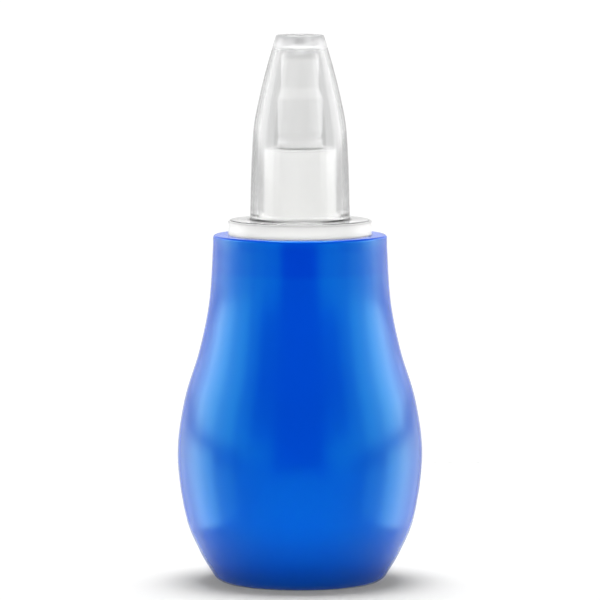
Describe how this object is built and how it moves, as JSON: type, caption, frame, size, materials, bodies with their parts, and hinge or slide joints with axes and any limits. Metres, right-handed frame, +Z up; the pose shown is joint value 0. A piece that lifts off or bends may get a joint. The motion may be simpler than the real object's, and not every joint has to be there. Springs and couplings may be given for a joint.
{
  "type": "nasal aspirator",
  "caption": "Squeeze bulb aspirator: a soft pear-shaped bulb with a neck plug, a stepped suction stem and a clear pull-off tip.",
  "frame": {"origin": "centre of the flat base that the bulb stands on", "axes": "+Z up along the axis of all the pieces, from the base to the tip's suction hole"},
  "size_m": [0.0492, 0.0492, 0.11],
  "materials": {
    "soft_bulb": "glossy soft translucent PVC, deep blue",
    "white_plastic": "satin white polypropylene",
    "milky_plastic": "milky translucent polypropylene",
    "clear_plastic": "clear polished polystyrene"
  },
  "bodies": {
    "bulb": {"squeeze_bulb": "soft_bulb"},
    "plug": {"neck_plug": "white_plastic"},
    "stem": {"suction_stem": "milky_plastic"},
    "tip": {"clear_tip": "clear_plastic"}
  },
  "joints": [
    {"name": "bulb_squeeze", "type": "slide", "parent": "bulb", "child": "plug", "axis": [0, 0, -1], "range_m": [0, 0.016], "stiffness_N_per_m": 900, "deforming": ["squeeze_bulb"]},
    {"name": "stem_pull", "type": "slide", "parent": "plug", "child": "stem", "axis": [0, 0, 1], "range_m": [0, 0.02]},
    {"name": "tip_pull", "type": "slide", "parent": "stem", "child": "tip", "axis": [0, 0, 1], "range_m": [0, 0.045]}
  ]
}
